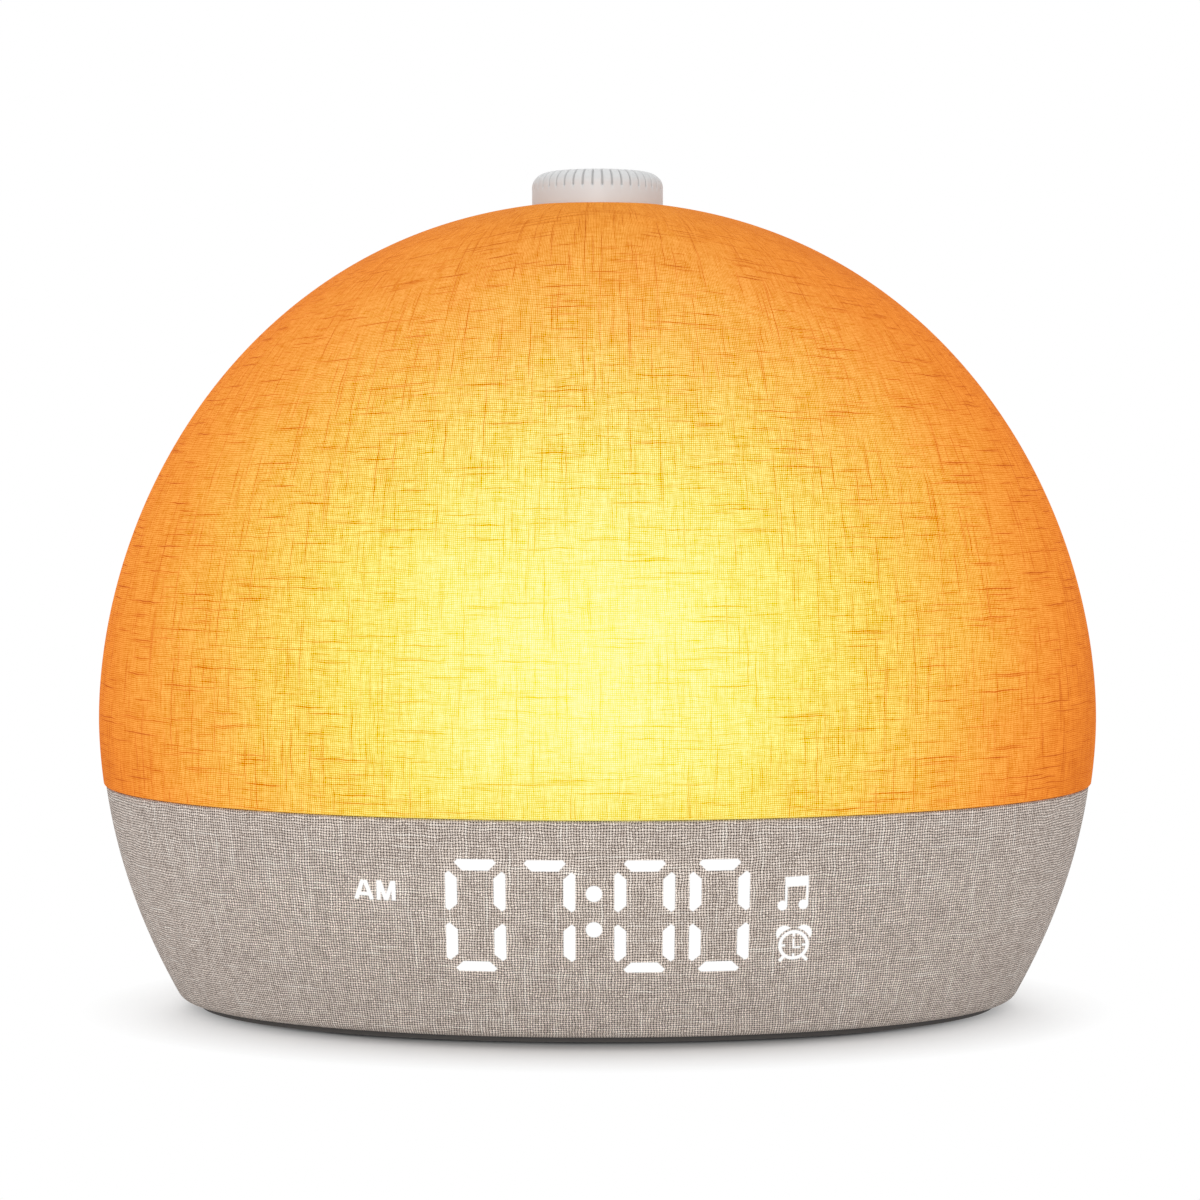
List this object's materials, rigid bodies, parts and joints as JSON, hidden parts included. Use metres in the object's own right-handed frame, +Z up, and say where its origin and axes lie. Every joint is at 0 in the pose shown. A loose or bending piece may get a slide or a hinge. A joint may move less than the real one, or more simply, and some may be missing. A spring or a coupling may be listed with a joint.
{
  "type": "sunrise alarm clock",
  "caption": "Sunrise alarm clock with a glowing cloth light dome, a linen-covered clock base with a lit display, and a ribbed knob that turns and presses.",
  "frame": {"origin": "on the floor under the middle of the clock", "axes": "+X along the clock's width, +Y from the display towards the rear panel, +Z up"},
  "size_m": [0.2, 0.106, 0.1675],
  "materials": {
    "dome_cloth": "fine woven cloth, lit from inside",
    "base_cloth": "coarse warm grey linen weave",
    "knob_plastic": "fine satin",
    "milky_plastic": "translucent milky",
    "white_plastic": "satin white",
    "grey_plastic": "fine texture",
    "black_plastic": "satin",
    "panel_plastic": "fine texture",
    "button_plastic": "satin",
    "lit_display": "lit white from behind",
    "led_package": "moulded chip with a phosphor window",
    "board_laminate": "green lacquered laminate",
    "white_board": "white lacquered laminate",
    "steel": "zinc plated",
    "spring_steel": "bright",
    "brass_plated": "nickel wash",
    "cable_jacket": "smooth",
    "ribbon_film": "flat film",
    "chip_plastic": "moulded",
    "magnet_metal": "dark plated",
    "cone_paper": "coated pulp with a rubber surround",
    "foam": "closed cell",
    "foot_rubber": "matte"
  },
  "bodies": {
    "clock": {"dome_fabric": "dome_cloth", "base_fabric": "base_cloth", "dome_diffuser": "milky_plastic", "fabric_ring": "knob_plastic", "push_spring": "spring_steel", "encoder_body": "steel", "encoder_washer": "steel", "encoder_nut": "steel", "encoder_board": "board_laminate", "encoder_lead": "cable_jacket", "light_tray": "grey_plastic", "light_board": "white_board", "light_leds": "led_package", "light_reflector": "white_plastic", "light_board_screws": "steel", "light_lead": "cable_jacket", "dome_screws": "steel", "base_shell": "grey_plastic", "display_housing": "black_plastic", "display_segments": "lit_display", "display_symbols": "lit_display", "display_board": "board_laminate", "display_leds": "led_package", "display_screws": "steel", "display_ribbon": "ribbon_film", "rear_panel": "panel_plastic", "switch_bodies": "black_plastic", "button_board": "board_laminate", "button_board_screws": "steel", "button_ribbon": "ribbon_film", "usb_socket": "steel", "usb_tongue": "black_plastic", "speaker_frame": "steel", "speaker_magnet": "magnet_metal", "speaker_cone": "cone_paper", "speaker_gasket": "foam", "speaker_screws": "steel", "speaker_lead": "cable_jacket", "main_board": "board_laminate", "main_board_parts": "chip_plastic", "board_connectors": "white_plastic", "cell_holder": "black_plastic", "backup_cell": "steel", "main_board_screws": "steel", "bottom_cover": "grey_plastic", "bottom_screws": "steel", "foot_ring": "foot_rubber"},
    "push_carrier": {"encoder_plunger": "black_plastic"},
    "knob": {"knob": "knob_plastic", "knob_clip": "spring_steel", "encoder_shaft": "brass_plated"},
    "clock_button": {"button_clock": "button_plastic", "plunger_clock": "black_plastic"},
    "alarm_button": {"button_alarm": "button_plastic", "plunger_alarm": "black_plastic"},
    "quieter_button": {"button_quieter": "button_plastic", "plunger_quieter": "black_plastic"},
    "louder_button": {"button_louder": "button_plastic", "plunger_louder": "black_plastic"}
  },
  "joints": [
    {"name": "knob_press", "type": "slide", "parent": "clock", "child": "push_carrier", "axis": [0, 0, -1], "range_m": [0, 0.0007], "stiffness_N_per_m": 4000, "springref_m": -0.0005, "deforming": ["push_spring"]},
    {"name": "knob_turn", "type": "hinge", "parent": "push_carrier", "child": "knob", "pos_m": [0, 0, 0.16], "axis": [0, 0, 1], "continuous": true},
    {"name": "clock_press", "type": "slide", "parent": "clock", "child": "clock_button", "axis": [0, -0.9481, 0.3179], "range_m": [0, 0.0005], "stiffness_N_per_m": 1500, "springref_m": -0.0005},
    {"name": "alarm_press", "type": "slide", "parent": "clock", "child": "alarm_button", "axis": [0, -0.9481, 0.3179], "range_m": [0, 0.0005], "stiffness_N_per_m": 1500, "springref_m": -0.0005},
    {"name": "quieter_press", "type": "slide", "parent": "clock", "child": "quieter_button", "axis": [0, -0.9481, 0.3179], "range_m": [0, 0.0005], "stiffness_N_per_m": 1500, "springref_m": -0.0005},
    {"name": "louder_press", "type": "slide", "parent": "clock", "child": "louder_button", "axis": [0, -0.9481, 0.3179], "range_m": [0, 0.0005], "stiffness_N_per_m": 1500, "springref_m": -0.0005}
  ]
}
